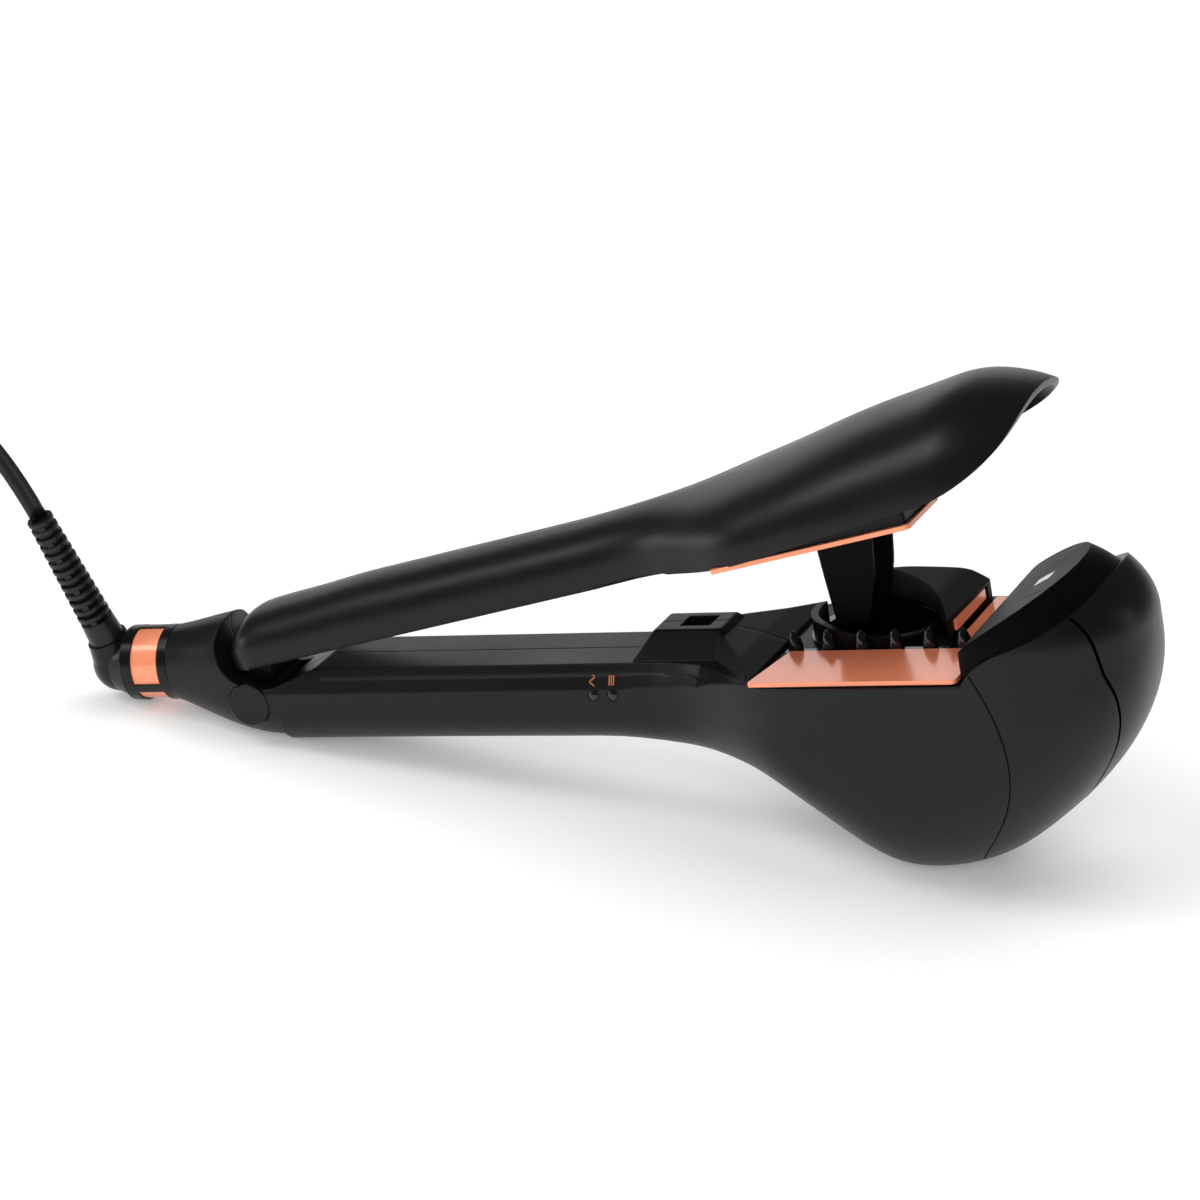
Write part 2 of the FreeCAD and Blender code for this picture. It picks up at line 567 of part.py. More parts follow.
PINION_ANGLE = math.radians(-14)
PINION_DISTANCE = GEAR_MODULE * (ROTOR_TEETH + PINION_TEETH) / 2
PINION_X = CHAMBER_X + PINION_DISTANCE * math.cos(PINION_ANGLE)
PINION_Y = CHAMBER_Y + PINION_DISTANCE * math.sin(PINION_ANGLE)
HUB_R = 5.5
rotor = chamber(CHAMBER_R - 0.4, CHAMBER_FLOOR + 0.3, CHAMBER_FLOOR + 2.1)
hook = ring(CHAMBER_R - 0.4, CHAMBER_R - 2.6, (CHAMBER_X, CHAMBER_Y, CHAMBER_FLOOR + 1), (CHAMBER_X, CHAMBER_Y, -18))
hook = hook.common(prism_y([(CHAMBER_X + 2, -30), (CHAMBER_X + 20, -30), (CHAMBER_X + 20, -20), (CHAMBER_X + 9, -20)],
                           CHAMBER_Y, CHAMBER_Y + 20, [0, 0, 2, 0]))
rotor = rotor.fuse(hook).fuse(chamber(HUB_R, GEAR_Z, CHAMBER_FLOOR + 1))
rotor = rotor.fuse(involute_gear(ROTOR_TEETH, GEAR_Z, GEAR_Z + GEAR_T, 0, PINION_ANGLE, (CHAMBER_X, CHAMBER_Y)))
add("curl_rotor", rotor, "rotor")
SHAFT_R = 1.2
pinion = involute_gear(PINION_TEETH, GEAR_Z, GEAR_Z + GEAR_T, SHAFT_R, PINION_ANGLE + math.pi + math.pi / PINION_TEETH,
                       (PINION_X, PINION_Y))
add("drive_pinion", pinion, "pinion")
shaft = cyl(SHAFT_R, (PINION_X, PINION_Y, GEAR_Z - 3.2), (PINION_X, PINION_Y, GEAR_Z + GEAR_T - 0.4))
add("motor_shaft", shaft, "pinion")
MOTOR_TOP = GEAR_Z - 2.4
motor = cyl(9.5, (PINION_X, PINION_Y, MOTOR_TOP - 10.5), (PINION_X, PINION_Y, MOTOR_TOP))
motor = motor.fuse(cyl(3.2, (PINION_X, PINION_Y, MOTOR_TOP), (PINION_X, PINION_Y, MOTOR_TOP + 0.8)))
add("curl_motor", motor.cut(cyl(SHAFT_R + 0.1, (PINION_X, PINION_Y, -42), (PINION_X, PINION_Y, 0))))

LEG_R = 1.1
LEG_CIRCLE = CUP_R - LEG_R
bracket = chamber(CUP_R + 0.5, MOTOR_TOP, MOTOR_TOP + 1.2)
bracket = bracket.fuse(cyl(10.5, (PINION_X, PINION_Y, MOTOR_TOP), (PINION_X, PINION_Y, MOTOR_TOP + 1.2)))
bracket = bracket.cut(chamber(11.0, -60, 0)).cut(cyl(3.3, (PINION_X, PINION_Y, -60), (PINION_X, PINION_Y, 0)))
for degrees in (50, 215, 290):
    x = CHAMBER_X + LEG_CIRCLE * math.cos(math.radians(degrees))
    y = CHAMBER_Y + LEG_CIRCLE * math.sin(math.radians(degrees))
    bracket = bracket.fuse(cyl(LEG_R, (x, y, MOTOR_TOP), (x, y, CHAMBER_FLOOR - CHAMBER_WALL)))
add("motor_bracket", bracket.common(form(WALL + 0.3)))

# ---- inside the handle ----
BOARD_Z = SCREW_Z + 3.2
BOARD_TOP = BOARD_Z + 1.4
chips = [(50, 0, 10, 3), (92, 2, 6, 2), (36, 3, 7, 4), (64, -2, 5, 2)]
BOARD_W = HANDLE_W - WALL - 2.3
LIGHT_BACK = HANDLE_W - 2.8      # inner end of the light pipes
STEM_END = HANDLE_W - 3.6        # inner end of the mode switch's stem
board = box(30, 112, -BOARD_W, BOARD_W, BOARD_Z, BOARD_TOP)
board = board.fuse([box(x, x + w, y - w / 2, y + w / 2, BOARD_TOP, BOARD_TOP + h) for x, y, w, h in chips])
board = board.fuse(box(LIGHT_X[0] - 2, LIGHT_X[1] + 2, 0.1 - LIGHT_BACK, 2.4 - LIGHT_BACK, BOARD_TOP - 1.0,
                       LIGHT_Z + 1.6))
board = board.fuse(box(SWITCH_X - 6, SWITCH_X + 6, STEM_END - 3.9, STEM_END - 0.2, BOARD_TOP - 1.0,
                       SWITCH_Z + 1.6))
add("control_board", board)
light_face = HANDLE_W - 0.7
lights = [cyl(LIGHT_R, (x, -light_face, LIGHT_Z), (x, -LIGHT_BACK, LIGHT_Z)) for x in LIGHT_X]
domes = [Part.makeSphere(2.0, V(x, 0.68 - light_face, LIGHT_Z)).common(
    cyl(LIGHT_R, (x, -HANDLE_W - 1, LIGHT_Z), (x, -light_face, LIGHT_Z))) for x in LIGHT_X]
add("mode_lights", lights[0].fuse(lights[1:] + domes))
add("shell_screws", screws(0.0))
slider = box(SWITCH_X - 3.2, SWITCH_X + 3.2, HANDLE_W - 0.7, HANDLE_W + 0.9, SWITCH_Z - 2.0, SWITCH_Z + 2.0)
slider = slider.makeFillet(0.5, [e for e in slider.Edges if e.CenterOfMass.y > HANDLE_W + 0.8])
slider = slider.cut(prism_z([(SWITCH_X - 0.4, HANDLE_W + 0.4), (SWITCH_X + 0.4, HANDLE_W + 0.4),
                             (SWITCH_X + 0.4, HANDLE_W + 2), (SWITCH_X - 0.4, HANDLE_W + 2)], -20, 10))
stem = box(SWITCH_X - 1.5, SWITCH_X + 1.5, STEM_END, HANDLE_W - 0.5, SWITCH_Z - 0.75, SWITCH_Z + 0.75)
add("mode_switch", slider.fuse(stem), "mode_switch")

# ---- hinge ----
pin_half = HANDLE_W - CAP_T - 0.3
add("hinge_pin", cyl(PIN_R, (0, -pin_half, HINGE_Z), (0, pin_half, HINGE_Z)))
cap = cyl(CAP_R, (0, CAP_T - HANDLE_W, HINGE_Z), (0, -HANDLE_W, HINGE_Z))
cap = cap.makeFillet(0.4, [e for e in cap.Edges if e.CenterOfMass.y < 0.1 - HANDLE_W])
add("hinge_caps", mirrored(cap))
turns = [Part.makeTorus(PIN_R + 1.1, 0.7, V(0, y, HINGE_Z), V(0, 1, 0)) for y in (-2.6, -1.3, 0.0, 1.3, 2.6)]
add("hinge_spring", turns[0].fuse(turns[1:]))

# ---- upper arm, modelled closed ----
def rear_wires():
    """The upper arm's rounded rear end."""
    made = []
    for x in (-5.1, -4.3, -2.4, 0.8, 4.6):
        u = (8.0 - x) / 13.2
        wide, high = round_off(u, 2.3), round_off(u, 2.0)
        w, top, bottom, up, low = form_section(8.0)
        made.append(section(x, w * wide, 1.0 + (top - 1.0) * high, bottom, 1.0 + (up - 1.0) * high, low, 0.6, 0.6))
    return made


LUG = box(-5.0, 16.0, -LUG_HALF, LUG_HALF, JAW_GAP, 4.2)
upper_hollow = form(WALL, 16.4).common(box(16.4, 300, -60, 60, -20, 60))
upper = form(0.0, 8.0, rear_wires()).common(above_jaw())
upper = upper.cut(upper_hollow)
upper_chamfer = long_chamfer(UPPER_FLAT_W, -UPPER_CHAMFER)
upper = upper.cut(upper_chamfer.translated(V(0, 0, JAW_GAP))).cut(LUG)
upper = upper.cut(plate(PLATE_X0 - 0.2, PLATE_X1 + 0.2, PLATE_TOP, PLATE_TOP + PLATE_GAP + PLATE_T + 0.1, 3.6))
upper = max(upper.Solids, key=lambda solid: solid.Volume)
add("upper_shell", upper, "upper_arm")

lug = cyl(LUG_R, (0, -LUG_HALF, HINGE_Z), (0, LUG_HALF, HINGE_Z))
lug = lug.fuse(box(-5.0, 6.0, -LUG_HALF, LUG_HALF, HINGE_Z, 1.0)).fuse(LUG.common(box(-20, 16, -30, 30, 0.3, 4.0)))
lug = lug.cut(cyl(PIN_R + PIN_FIT, (0, -20, HINGE_Z), (0, 20, HINGE_Z)))
lug = lug.cut(cyl(PIN_R + 2.4, (0, -4.0, HINGE_Z), (0, 4.0, HINGE_Z)))
add("hinge_lug", lug, "upper_arm")

COVER_X = (16.8, 108.2)
BRIDGE_Z = (11.1, 12.9)           # the carrier's bridge, clear over the curl guard
cover_half = HANDLE_W - WALL - 0.3
inner_cover = box(COVER_X[0], COVER_X[1], -cover_half, cover_half, JAW_GAP, JAW_GAP + 1.8)
inner_cover = inner_cover.fuse(box(COVER_X[1] - 1.6, COVER_X[1], -11.6, 11.6, JAW_GAP, BRIDGE_Z[1] - 0.6))
inner_cover = inner_cover.fuse(box(COVER_X[1] - 1.6, 147.5, -10.2, 10.2, BRIDGE_Z[0], BRIDGE_Z[1] - 0.6))
inner_cover = inner_cover.fuse(box(126.8, 130.8, -1.6, 1.6, 4.8, BRIDGE_Z[0] + 0.6))
add("upper_inner_cover", inner_cover.common(form(WALL + 0.15, 16.5)), "upper_arm")

upper_z = PLATE_TOP + PLATE_GAP
add("upper_plate", plate(PLATE_X0, PLATE_X1, upper_z, upper_z + PLATE_T, 3.6), "upper_arm")
carrier_z = upper_z + PLATE_T
POST_MID = CHAMBER_Y - 0.5
POST_HALF = 7.8
carrier = prism_z([(PLATE_X0 - 3, PLATE_OUT + 1.4), (PLATE_X1 - 1, PLATE_OUT + 1.4), (PLATE_X1 - 1, PLATE_IN - 0.4),
                   (PLATE_X0 + 1, PLATE_IN - 0.4)], carrier_z, carrier_z + 4.4, 1.0)
carrier = carrier.cut(box(HEATER[0], HEATER[1], HEATER[2], HEATER[3], carrier_z - 1, carrier_z + 1.5))
bridge = box(148.0, 205.0, PLATE_IN - 2.5, CHAMBER_Y + 13.5, *BRIDGE_Z)
carrier = carrier.fuse(box(150.0, 205.0, PLATE_IN - 2.5, PLATE_IN - 0.6, carrier_z + 3, BRIDGE_Z[1])).fuse(bridge)
inner_room = form(WALL + 0.25, 16.5)
BASE = (CHAMBER_X - 13.7, CHAMBER_X + 16.5, POST_MID - 12.5, POST_MID + 12.5)
post_hole = box(BASE[0] - 0.3, BASE[1] + 0.3, BASE[2] - 0.3, BASE[3] + 0.3, BRIDGE_Z[0] - 0.4, BRIDGE_Z[1] + 0.4)
add("plate_carrier", carrier.common(inner_room).cut(post_hole), "upper_arm")
add("upper_heater", box(HEATER[0] + 0.1, HEATER[1] - 0.1, HEATER[2] + 0.1, HEATER[3] - 0.1, carrier_z,
                        carrier_z + 1.4), "upper_arm")
post_top = BRIDGE_Z[0] + 0.6
POST = [(166.8, post_top), (166.4, -4.0), (165.4, -16.0), (164.6, POST_BOTTOM), (174.4, POST_BOTTOM),
        (179.4, -18.0), (183.2, -5.0), (184.0, post_top)]
post = prism_y(POST, POST_MID - POST_HALF, POST_MID + POST_HALF, [0, 60, 60, 0, 0, 30, 30, 0])
post = post.cut(cyl(7.5, (187.2, POST_MID, post_top + 0.5), (180.8, POST_MID, POST_BOTTOM - 2)))
corner_edges = [e for e in post.Edges if abs(abs(e.CenterOfMass.y - POST_MID) - POST_HALF) < 0.01
                and e.CenterOfMass.x < 169 and abs(e.tangentAt(e.FirstParameter).z) > 0.5]
post = post.makeFillet(1.8, corner_edges)
post = post.fuse(box(*BASE, *BRIDGE_Z))
HEATER_ROD_X = CHAMBER_X - 0.5
post = post.cut(cyl(2.6, (HEATER_ROD_X, POST_MID, -20.0), (HEATER_ROD_X, POST_MID, BRIDGE_Z[1] + 1)))
add("curl_post", post, "upper_arm")
add("post_heater", cyl(2.5, (HEATER_ROD_X, POST_MID, -19.6), (HEATER_ROD_X, POST_MID, BRIDGE_Z[1] - 0.6)),
    "upper_arm")

# ---- cord swivel on the tail ----
COLLAR_X = (TAIL_X - 15.0, TAIL_X - 0.2)
collar = cyl(SWIVEL_R, (COLLAR_X[0], 0, TAIL_Z), (COLLAR_X[1], 0, TAIL_Z))
collar = collar.makeFillet(0.8, [e for e in collar.Edges if e.CenterOfMass.x < COLLAR_X[0] + 0.1 and e.Length > 20])
collar = collar.cut(cyl(SWIVEL_R - 1.3, (COLLAR_X[0] + 1.6, 0, TAIL_Z), (COLLAR_X[1], 0, TAIL_Z)))
collar = collar.cut(cyl(SWIVEL_BORE + 0.1, (COLLAR_X[0] - 1, 0, TAIL_Z), (COLLAR_X[1], 0, TAIL_Z)))
WINDOW_X = (TAIL_X - 11.2, TAIL_X - 3.0)
for k in range(3):
    sector = cyl(SWIVEL_R + 1, (WINDOW_X[0], 0, 0), (WINDOW_X[1], 0, 0))
    wedge = Part.makePolygon([V(WINDOW_X[0], 0, 0), V(WINDOW_X[0], -30, 0.0), V(WINDOW_X[0], -30, 40.0),
                              V(WINDOW_X[0], 8.0, 30.0), V(WINDOW_X[0], 0, 0)])
    wedge = Part.Face(wedge).extrude(V(WINDOW_X[1] - WINDOW_X[0], 0, 0))
    opening = sector.common(wedge).rotated(V(0, 0, 0), V(1, 0, 0), 120 * k + 18)
    collar = collar.cut(opening.translated(V(0, 0, TAIL_Z)))
band = ring(SWIVEL_R - 0.5, SWIVEL_R - 1.3, (WINDOW_X[0] - 0.5, 0, TAIL_Z), (WINDOW_X[1] + 0.5, 0, TAIL_Z))
add("swivel_collar", collar.cut(band))
add("copper_band", band)

RELIEF_DIR = V(-6.0, -11.5, 38.5).normalize()
ELBOW_O = V(COLLAR_X[0] - 4.6, 0, TAIL_Z)
elbow = Part.makeCone(SWIVEL_R - 0.9, 7.6, 4.6, V(COLLAR_X[0] - 0.1, 0, TAIL_Z), V(-1, 0, 0))
elbow = elbow.fuse(Part.makeSphere(7.7, ELBOW_O))
elbow = elbow.fuse(Part.makeCone(7.4, 5.6, RELIEF_START, ELBOW_O, RELIEF_DIR))
elbow = elbow.common(box(-100, COLLAR_X[0] - 0.1, -50, 50, -50, 80))
elbow = elbow.fuse(cyl(SWIVEL_BORE - 0.1, (COLLAR_X[0] - 2, 0, TAIL_Z), (TAIL_X + 8.6, 0, TAIL_Z)))
add("swivel_elbow", elbow, "cord_swivel")

RELIEF_BASE = ELBOW_O + RELIEF_DIR * RELIEF_START


def slotted_relief():
    """Flexible strain relief along +Z: rings on a slim core, tied by two webs that change sides each time."""
    sleeve = 6.5
    pitch = (RELIEF_LEN - sleeve) / RELIEF_RINGS
    made = Part.makeCone(5.0, 4.6, sleeve, V()).fuse(Part.makeCone(3.0, 2.7, RELIEF_LEN - sleeve, V(0, 0, sleeve)))
    for k in range(RELIEF_RINGS):
        r = RELIEF_R[0] + (RELIEF_R[1] - RELIEF_R[0]) * (k + 1) / RELIEF_RINGS
        z = sleeve + pitch * (k + 1)
        rim = Part.makeCylinder(r, pitch * 0.56, V(0, 0, z - pitch * 0.56))
        rim = rim.makeFillet(0.35, [e for e in rim.Edges if e.Length > r * math.pi])
        web = box(-0.9, 0.9, 0.3 - r, r - 0.3, z - pitch - 0.2, z - pitch * 0.5)
        made = made.fuse([rim, web.rotated(V(), V(0, 0, 1), 90 * (k % 2) + 20)])
    return made


relief = slotted_relief()
relief.Placement = FreeCAD.Placement(RELIEF_BASE, FreeCAD.Rotation(V(0, 0, 1), RELIEF_DIR))
add("strain_relief", relief, "cord_swivel")
RELIEF_TIP = RELIEF_BASE + RELIEF_DIR * RELIEF_LEN

# ---- open the upper arm, then stand the tool on its heel and bulb ----
hinge = V(0, 0, HINGE_Z)
for name, item in parts.items():
    if item[1] == "upper_arm":
        item[0] = item[0].rotated(hinge, V(0, 1, 0), -OPEN_DEG)

PITCH_DEG = 11.4
FLOOR_CUT = 0.6          # the small flats worn on the heel and the bulb


def pitched(shape):
    return shape.rotated(V(0, 0, 0), V(0, 1, 0), -PITCH_DEG)


def extent(names):
    boxes = [parts[name][0].optimalBoundingBox(False, False) for name in names]
    return (min(b.XMin for b in boxes), max(b.XMax for b in boxes), min(b.ZMin for b in boxes))


for item in parts.values():
    item[0] = pitched(item[0])
outer = ["lower_shell_near", "nose_shell_near", "front_cover", "swivel_elbow", "strain_relief"]
x_low, x_high, z_low = extent(outer)
lift = V(-(x_low + x_high) / 2, 0, -z_low - FLOOR_CUT)
floor = Part.makeBox(800, 400, 100, V(-400, -200, -100))
for item in parts.values():
    item[0] = item[0].translated(lift)
for name in ("lower_shell_near", "lower_shell_far", "nose_shell_near", "nose_shell_far"):
    parts[name][0] = parts[name][0].cut(floor)


def placed(point):
    turned = FreeCAD.Rotation(V(0, 1, 0), -PITCH_DEG).multVec(point)
    return turned + lift


# ---- cord: up and over from the strain relief, down to the floor, and its spare length in a tied coil ----
COIL_C = V(-255.0, -2.0, 0)      # middle of the coil on the floor
COIL_Z0 = 0.5                    # the coil lies on its tie
COIL_TURNS = 4                   # turns side by side, in two layers
COIL_R = 37.5                    # middle of the outermost turn
TIE_W = 8.0
ROUTE = [
    (-168.8, -28.6, 89.0), (-186.0, -38.0, 97.5), (-204.0, -44.5, 92.0), (-217.0, -49.0, 74.0),
    (-223.5, -51.5, 51.0), (-226.0, -52.0, 21.0), (-225.8, -45.5, 9.7), (-223.0, -34.5, 3.0),
    (-218.3, -20.0, 3.0), (-217.3, -5.0, 3.0),
]
TAIL_ROUTE = [
    (-228.6, -25.8, 7.0), (-220.1, -18.5, 9.6), (-214.1, -8.1, 11.2), (-213.4, 4.4, 13.4),
    (-218.5, 15.9, 15.8), (-227.8, 23.4, 17.7), (-237.5, 26.0, 18.5), (-245.0, 26.0, 18.5),
]
PLUG_NECK = 12.0
PLUG_BODY = 25.0
PLUG_W = 24.0
PLUG_H = 16.0
BLADE = (16.0, 1.5, 6.3)         # length, thickness, height
BLADE_PITCH = 12.7


def cord_tube(points):
    """Straight runs joined by tangent arcs, each as large as its two runs allow."""
    radii = [0.0]
    for before, here, after in zip(points, points[1:], points[2:]):
        turn = (here - before).getAngle(after - here)
        radii.append(0.45 * min((here - before).Length, (after - here).Length) / math.tan(turn / 2))
    radii.append(0.0)
    path = Part.Wire(rounded_edges(points, radii, closed=False))
    circle = Part.Wire(Part.Circle(points[0], points[1] - points[0], CORD_D / 2).toShape())
    tube = path.makePipeShell([circle], True, False)
    print("cord radii", [round(r, 1) for r in radii[1:-1]], "length", round(path.Length, 1),
          "volume", round(tube.Volume, 1), "section x length", round(math.pi * CORD_D**2 / 4 * path.Length, 1))
    return tube


exit_point = placed(RELIEF_TIP)
exit_dir = placed(RELIEF_TIP + RELIEF_DIR) - exit_point
coil_in = COIL_R - (COIL_TURNS - 0.5) * CORD_D
coil_out = COIL_R + CORD_D / 2
coil = ring(coil_out, coil_in, COIL_C + V(0, 0, COIL_Z0), COIL_C + V(0, 0, COIL_Z0 + 2 * CORD_D))
add("cord_coil", coil, "cord_swivel")
add("power_cord", cord_tube([exit_point, exit_point + exit_dir * 17.0] + [V(*p) for p in ROUTE]).cut(coil),
    "cord_swivel")
tail_points = [V(*p) for p in TAIL_ROUTE]
add("cord_tail", cord_tube(tail_points).cut(coil), "cord_swivel")
tie = box(coil_in - 0.9, coil_out + 0.9, -TIE_W / 2, TIE_W / 2, 0.0, 2 * CORD_D + 2 * COIL_Z0)
add("cord_tie", tie.rotated(V(), V(0, 0, 1), -70).translated(COIL_C).cut(coil), "cord_swivel")


def plug_pieces():
    """Two bladed plug lying flat, modelled with its cord end at the origin and its blades along +X."""
    body = prism_z([(PLUG_NECK - 1, -6.0), (PLUG_NECK + 4, -PLUG_W / 2), (PLUG_NECK + PLUG_BODY, -PLUG_W / 2),
                    (PLUG_NECK + PLUG_BODY, PLUG_W / 2), (PLUG_NECK + 4, PLUG_W / 2), (PLUG_NECK - 1, 6.0)],
                   -PLUG_H / 2, PLUG_H / 2, [2, 4, 2, 2, 4, 2])
    rims = [e for e in body.Edges if abs(abs(e.CenterOfMass.z) - PLUG_H / 2) < 0.01]
    body = body.makeFillet(1.5, rims)
    body = body.fuse(Part.makeCone(CORD_D / 2 + 0.8, 5.2, PLUG_NECK, V(), V(1, 0, 0)))
    length, thick, high = BLADE
    x0 = PLUG_NECK + PLUG_BODY
    blades = mirrored(box(x0, x0 + length, BLADE_PITCH / 2 - thick / 2, BLADE_PITCH / 2 + thick / 2,
                          -high / 2, high / 2))
    return body, blades


plug_dir = tail_points[-1] - tail_points[-2]
plug_turn = math.degrees(math.atan2(plug_dir.y, plug_dir.x))
for name, piece in zip(("plug_body", "plug_blades"), plug_pieces()):
    add(name, piece.rotated(V(), V(0, 0, 1), plug_turn).translated(tail_points[-1]), "cord_swivel")

print("pitch", PITCH_DEG, "lift", tuple(round(v, 4) for v in lift))
for label, point in (("hinge", hinge), ("rotor", V(CHAMBER_X, CHAMBER_Y, GEAR_Z)),
                     ("pinion", V(PINION_X, PINION_Y, GEAR_Z)), ("swivel", V(TAIL_X, 0, TAIL_Z)),
                     ("relief tip", RELIEF_TIP)):
    print(label, tuple(round(v, 3) for v in placed(point)))
os.makedirs("parts", exist_ok=True)
for name, (shape, body) in parts.items():
    solids = shape.Solids
    print(f"{name:20s} {body:12s} solids {len(solids)} volume {shape.Volume:9.0f} valid {shape.isValid()}")
    shape.exportStep(f"parts/{name}.step")
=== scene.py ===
import json
import math

import bmesh
import bpy
from mathutils import Matrix, Vector


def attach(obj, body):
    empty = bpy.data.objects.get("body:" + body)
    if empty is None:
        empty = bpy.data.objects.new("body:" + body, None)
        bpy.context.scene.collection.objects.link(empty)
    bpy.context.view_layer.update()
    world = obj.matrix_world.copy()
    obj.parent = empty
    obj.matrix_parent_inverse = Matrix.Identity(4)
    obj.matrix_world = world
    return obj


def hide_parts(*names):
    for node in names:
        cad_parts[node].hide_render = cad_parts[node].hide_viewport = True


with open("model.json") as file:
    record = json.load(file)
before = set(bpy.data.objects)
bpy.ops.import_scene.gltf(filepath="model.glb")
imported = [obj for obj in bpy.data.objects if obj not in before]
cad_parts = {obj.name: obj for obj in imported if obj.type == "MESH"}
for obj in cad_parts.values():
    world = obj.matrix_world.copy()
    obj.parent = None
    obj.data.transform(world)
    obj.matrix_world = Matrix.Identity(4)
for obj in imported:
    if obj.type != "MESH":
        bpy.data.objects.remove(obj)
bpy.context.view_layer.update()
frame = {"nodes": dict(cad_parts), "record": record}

# Finishes, cord and studio for the hair styler. Lengths are metres; MM turns millimetres into them.
MM = 0.001
scene = bpy.context.scene

# ---- camera ----
VIEW_AZIMUTH = 21.98      # from the near side, degrees toward the nose
VIEW_ELEVATION = 22.77
VIEW_ROLL = 1.22
VIEW_DISTANCE = 1.3052
VIEW_TARGET = Vector((0.00514, 0.0, 0.0538))
LENS = 150.0


def make_camera():
    data = bpy.data.cameras.new("camera")
    data.lens = LENS
    data.sensor_width = 36.0
    camera = bpy.data.objects.new("camera", data)
    scene.collection.objects.link(camera)
    turn = (Matrix.Rotation(math.radians(VIEW_AZIMUTH), 4, "Z")
            @ Matrix.Rotation(math.radians(90 - VIEW_ELEVATION), 4, "X")
            @ Matrix.Rotation(math.radians(VIEW_ROLL), 4, "Z"))
    away = turn @ Vector((0.0, 0.0, VIEW_DISTANCE))
    camera.matrix_world = Matrix.Translation(VIEW_TARGET + away) @ turn
    scene.camera = camera


# ---- cord ----
CORD_D = 5.0 * MM
CORE_R = 1.3 * MM         # each of the two cores lying side by side
COIL_C = Vector((-255.0, -2.0, 0.0)) * MM
COIL_R = 37.5 * MM
COIL_LOW = 3.0 * MM       # heights of the two layers
COIL_HIGH = 8.0 * MM
COIL_START = math.radians(-10.0)
COIL_TURNS = 8 - 40 / 360  # the last turn stops short where the tail climbs away
TURN_POINTS = 18
INNER_TURNS = 3.5         # turns taken to reach the middle
RISE_TURNS = 0.8          # and to climb onto the lower layer
COIL_ROWS = 3             # cord widths between the outermost and the innermost turn
ROUTE = [
    (-152.55, -14.153, 55.111), (-158.2, -19.0, 70.4), (-168.8, -28.6, 89.0), (-186.0, -38.0, 97.5),
    (-204.0, -44.5, 92.0), (-217.0, -49.0, 74.0), (-223.5, -51.5, 51.0), (-226.0, -52.0, 21.0),
    (-225.8, -45.5, 9.7), (-223.0, -34.5, 3.0), (-218.3, -20.0, 3.0),
]
TAIL_ROUTE = [
    (-220.1, -18.5, 9.6), (-214.1, -8.1, 11.2), (-213.4, 4.4, 13.4), (-218.5, 15.9, 15.8),
    (-227.8, 23.4, 17.7), (-237.5, 26.0, 18.5), (-245.0, 26.0, 18.5),
]
TWIST_LENGTH = 0.11       # the cord's flat turns down onto the floor over this length
EXIT_LEAN = math.radians(-75.0)
CORE_ARC = (-140.0, 280.0)  # where a core's outline starts and how far it goes round, degrees
CORE_SIDES = 10


def coil_points():
    """Two layers of a flat coil: inward below, outward above."""
    points = []
    above = INNER_TURNS + RISE_TURNS
    for k in range(round(COIL_TURNS * TURN_POINTS) + 1):
        turn = k / TURN_POINTS
        if turn < INNER_TURNS:
            r, z = COIL_R - turn / INNER_TURNS * COIL_ROWS * CORD_D, COIL_LOW
        elif turn < above:
            climbed = (turn - INNER_TURNS) / RISE_TURNS
            r, z = COIL_R - COIL_ROWS * CORD_D, COIL_LOW + climbed * (COIL_HIGH - COIL_LOW)
        else:
            part = min(1.0, (turn - above) / (COIL_TURNS - above))
            r, z = COIL_R - (1 - part) * COIL_ROWS * CORD_D, COIL_HIGH
        angle = COIL_START + 2 * math.pi * turn
        points.append(COIL_C + Vector((r * math.cos(angle), r * math.sin(angle), z)))
    return points


def cord_route():
    return [Vector(p) * MM for p in ROUTE] + coil_points() + [Vector(p) * MM for p in TAIL_ROUTE]


def nurbs_line(name, points):
    """The smooth line that a cord follows, as points close together."""
    curve = bpy.data.curves.new(name, "CURVE")
    curve.dimensions = "3D"
    spline = curve.splines.new("NURBS")
    spline.points.add(len(points) - 1)
    for slot, p in zip(spline.points, points):
        slot.co = (*p, 1.0)
    spline.order_u = 3
    spline.use_endpoint_u = True
    spline.resolution_u = 6
    holder = bpy.data.objects.new(name, curve)
    scene.collection.objects.link(holder)
    bpy.context.view_layer.update()
    mesh = bpy.data.meshes.new_from_object(holder.evaluated_get(bpy.context.evaluated_depsgraph_get()))
    line = [v.co.copy() for v in mesh.vertices]
    bpy.data.objects.remove(holder)
    bpy.data.curves.remove(curve)
    bpy.data.meshes.remove(mesh)
    return line


def new_object(name, mesh):
    made = bpy.data.objects.new(name, mesh)
    scene.collection.objects.link(made)
    return made


def twin_profile():
    """Cross section of two cores joined by a web, as (across, up) points."""
    gap = CORD_D / 2 - CORE_R
    points = []
    start, sweep_deg = CORE_ARC
    for centre, first in ((gap, start), (-gap, start + 180)):
        for k in range(CORE_SIDES + 1):
            a = math.radians(first + sweep_deg * k / CORE_SIDES)
            points.append((centre + CORE_R * math.cos(a), CORE_R * math.sin(a)))
    return points


